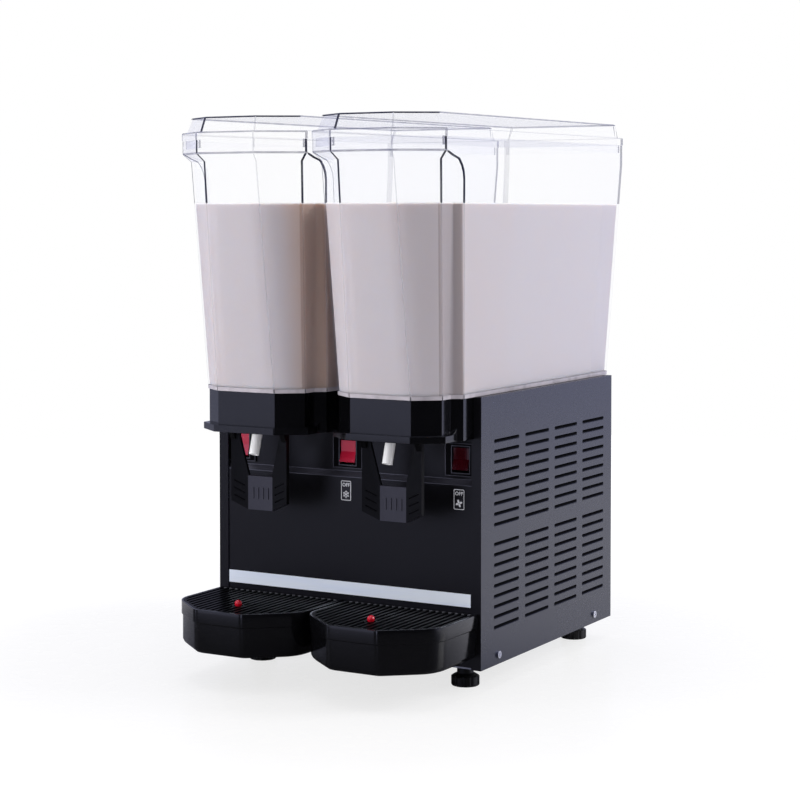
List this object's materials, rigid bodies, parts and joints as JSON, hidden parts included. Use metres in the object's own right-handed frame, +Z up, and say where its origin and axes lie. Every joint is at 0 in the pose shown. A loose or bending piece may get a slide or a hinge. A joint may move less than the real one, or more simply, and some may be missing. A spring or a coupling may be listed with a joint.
{
  "type": "cold drink dispenser",
  "caption": "Refrigerated drink dispenser with clear lift-off tanks side by side, push-lever taps, mixers, drip trays with float indicators and a louvred cabinet on levelling feet.",
  "frame": {"origin": "middle of the part's footprint, on the floor under the feet", "axes": "+Z up, -Y towards the user at the taps, +X to the user's right"},
  "size_m": [0.3746, 0.5634, 0.6824],
  "materials": {
    "zinc_steel": "dull zinc plate",
    "black_paint": "satin black powder coat",
    "steel_paint": "fine dark grey powder coat",
    "bright_screw": "bright",
    "pale_strip": "smooth pale blue film",
    "satin_black": "satin moulded",
    "foot_black": "matt moulded",
    "clear_plastic": "clear polished",
    "gloss_black": "polished",
    "white_plastic": "smooth",
    "spring_steel": "bright drawn",
    "red_plastic": "polished red",
    "red_rocker": "translucent red",
    "plate_steel": "brushed stainless",
    "black_rubber": "matt",
    "fin_aluminium": "mill finish",
    "copper": "bare copper tube"
  },
  "bodies": {
    "cabinet": {"base_pan": "zinc_steel", "front_panel": "black_paint", "rear_panel": "steel_paint", "left_side_panel": "steel_paint", "right_side_panel": "steel_paint", "top_deck": "black_paint", "case_screws": "bright_screw", "front_strip": "pale_strip", "cord_gland": "satin_black", "switch_housings": "satin_black", "compressor": "black_paint", "compressor_mounts": "black_rubber", "condenser": "fin_aluminium", "fan_shroud": "satin_black", "fan_motor": "zinc_steel", "filter_drier": "copper", "refrigerant_pipes": "copper", "thermostat": "zinc_steel", "fascia_left": "gloss_black", "fascia_right": "gloss_black", "tap_spout_left": "white_plastic", "tap_spout_right": "white_plastic", "tap_spring_left": "spring_steel", "tap_spring_right": "spring_steel", "lever_pin_left": "spring_steel", "lever_pin_right": "spring_steel", "cold_plate_left": "plate_steel", "cold_plate_right": "plate_steel", "tank_gasket_left": "black_rubber", "tank_gasket_right": "black_rubber", "mixer_motor_left": "zinc_steel", "mixer_motor_right": "zinc_steel"},
    "fan": {"cooling_fan": "satin_black"},
    "foot_front_left": {"foot_front_left": "foot_black"},
    "foot_front_right": {"foot_front_right": "foot_black"},
    "foot_rear_left": {"foot_rear_left": "foot_black"},
    "foot_rear_right": {"foot_rear_right": "foot_black"},
    "rocker_left": {"rocker_left": "red_rocker"},
    "rocker_middle": {"rocker_middle": "red_rocker"},
    "rocker_right": {"rocker_right": "red_rocker"},
    "tank_left": {"tank_left": "clear_plastic"},
    "lid_left": {"lid_left": "clear_plastic"},
    "tap_plunger_left": {"tap_plunger_left": "white_plastic"},
    "push_lever_left": {"push_lever_left": "satin_black"},
    "drip_tray_left": {"drip_tray_left": "gloss_black"},
    "drip_grille_left": {"drip_grille_left": "satin_black"},
    "float_left": {"float_left": "red_plastic"},
    "mixer_paddle_left": {"mixer_paddle_left": "white_plastic"},
    "drive_magnet_left": {"drive_magnet_left": "zinc_steel"},
    "tank_right": {"tank_right": "clear_plastic"},
    "lid_right": {"lid_right": "clear_plastic"},
    "tap_plunger_right": {"tap_plunger_right": "white_plastic"},
    "push_lever_right": {"push_lever_right": "satin_black"},
    "drip_tray_right": {"drip_tray_right": "gloss_black"},
    "drip_grille_right": {"drip_grille_right": "satin_black"},
    "float_right": {"float_right": "red_plastic"},
    "mixer_paddle_right": {"mixer_paddle_right": "white_plastic"},
    "drive_magnet_right": {"drive_magnet_right": "zinc_steel"}
  },
  "joints": [
    {"name": "fan_spin", "type": "hinge", "parent": "cabinet", "child": "fan", "pos_m": [0.115, 0.04785, 0.1295], "axis": [1, 0, 0], "continuous": true},
    {"name": "foot_front_left_screw_out", "type": "slide", "parent": "cabinet", "child": "foot_front_left", "axis": [0, 0, -1], "range_m": [0, 0.012]},
    {"name": "foot_front_right_screw_out", "type": "slide", "parent": "cabinet", "child": "foot_front_right", "axis": [0, 0, -1], "range_m": [0, 0.012]},
    {"name": "foot_rear_left_screw_out", "type": "slide", "parent": "cabinet", "child": "foot_rear_left", "axis": [0, 0, -1], "range_m": [0, 0.012]},
    {"name": "foot_rear_right_screw_out", "type": "slide", "parent": "cabinet", "child": "foot_rear_right", "axis": [0, 0, -1], "range_m": [0, 0.012]},
    {"name": "rocker_left_tip", "type": "hinge", "parent": "cabinet", "child": "rocker_left", "pos_m": [-0.155, -0.12965, 0.274], "axis": [1, 0, 0], "range_deg": [0, 16]},
    {"name": "rocker_middle_tip", "type": "hinge", "parent": "cabinet", "child": "rocker_middle", "pos_m": [0, -0.12965, 0.274], "axis": [1, 0, 0], "range_deg": [0, 16]},
    {"name": "rocker_right_tip", "type": "hinge", "parent": "cabinet", "child": "rocker_right", "pos_m": [0.155, -0.12965, 0.274], "axis": [1, 0, 0], "range_deg": [0, 16]},
    {"name": "tank_left_lift", "type": "slide", "parent": "cabinet", "child": "tank_left", "axis": [0, 0, 1], "range_m": [0, 0.12]},
    {"name": "lid_left_lift", "type": "slide", "parent": "tank_left", "child": "lid_left", "axis": [0, 0, 1], "range_m": [0, 0.08]},
    {"name": "lever_left_push", "type": "hinge", "parent": "cabinet", "child": "push_lever_left", "pos_m": [-0.093, -0.20615, 0.316], "axis": [1, 0, 0], "range_deg": [0, 12], "stiffness_Nm_per_rad": 0.6, "springref_deg": -5.73},
    {"name": "plunger_left_rise", "type": "slide", "parent": "cabinet", "child": "tap_plunger_left", "axis": [0, 0, 1], "range_m": [0, 0.004], "deforming": ["tap_spring_left"]},
    {"name": "drive_left_spin", "type": "hinge", "parent": "cabinet", "child": "drive_magnet_left", "pos_m": [-0.093, 0.04585, 0.34], "axis": [0, 0, 1], "continuous": true},
    {"name": "mixer_left_spin", "type": "hinge", "parent": "cabinet", "child": "mixer_paddle_left", "pos_m": [-0.093, 0.04585, 0.37], "axis": [0, 0, 1], "continuous": true},
    {"name": "tray_left_pull", "type": "slide", "parent": "cabinet", "child": "drip_tray_left", "axis": [0, -1, 0], "range_m": [0, 0.06]},
    {"name": "grille_left_lift", "type": "slide", "parent": "drip_tray_left", "child": "drip_grille_left", "axis": [0, 0, 1], "range_m": [0, 0.05]},
    {"name": "float_left_rise", "type": "slide", "parent": "drip_tray_left", "child": "float_left", "axis": [0, 0, 1], "range_m": [0, 0.012]},
    {"name": "tank_right_lift", "type": "slide", "parent": "cabinet", "child": "tank_right", "axis": [0, 0, 1], "range_m": [0, 0.12]},
    {"name": "lid_right_lift", "type": "slide", "parent": "tank_right", "child": "lid_right", "axis": [0, 0, 1], "range_m": [0, 0.08]},
    {"name": "lever_right_push", "type": "hinge", "parent": "cabinet", "child": "push_lever_right", "pos_m": [0.093, -0.20615, 0.316], "axis": [1, 0, 0], "range_deg": [0, 12], "stiffness_Nm_per_rad": 0.6, "springref_deg": -5.73},
    {"name": "plunger_right_rise", "type": "slide", "parent": "cabinet", "child": "tap_plunger_right", "axis": [0, 0, 1], "range_m": [0, 0.004], "deforming": ["tap_spring_right"]},
    {"name": "drive_right_spin", "type": "hinge", "parent": "cabinet", "child": "drive_magnet_right", "pos_m": [0.093, 0.04585, 0.34], "axis": [0, 0, 1], "continuous": true},
    {"name": "mixer_right_spin", "type": "hinge", "parent": "cabinet", "child": "mixer_paddle_right", "pos_m": [0.093, 0.04585, 0.37], "axis": [0, 0, 1], "continuous": true},
    {"name": "tray_right_pull", "type": "slide", "parent": "cabinet", "child": "drip_tray_right", "axis": [0, -1, 0], "range_m": [0, 0.06]},
    {"name": "grille_right_lift", "type": "slide", "parent": "drip_tray_right", "child": "drip_grille_right", "axis": [0, 0, 1], "range_m": [0, 0.05]},
    {"name": "float_right_rise", "type": "slide", "parent": "drip_tray_right", "child": "float_right", "axis": [0, 0, 1], "range_m": [0, 0.012]}
  ],
  "couplings": [
    {"joint": "plunger_left_rise", "follows": "lever_left_push", "m_per_rad": 0.0158},
    {"joint": "mixer_left_spin", "follows": "drive_left_spin", "ratio": 1},
    {"joint": "plunger_right_rise", "follows": "lever_right_push", "m_per_rad": 0.0158},
    {"joint": "mixer_right_spin", "follows": "drive_right_spin", "ratio": 1}
  ]
}
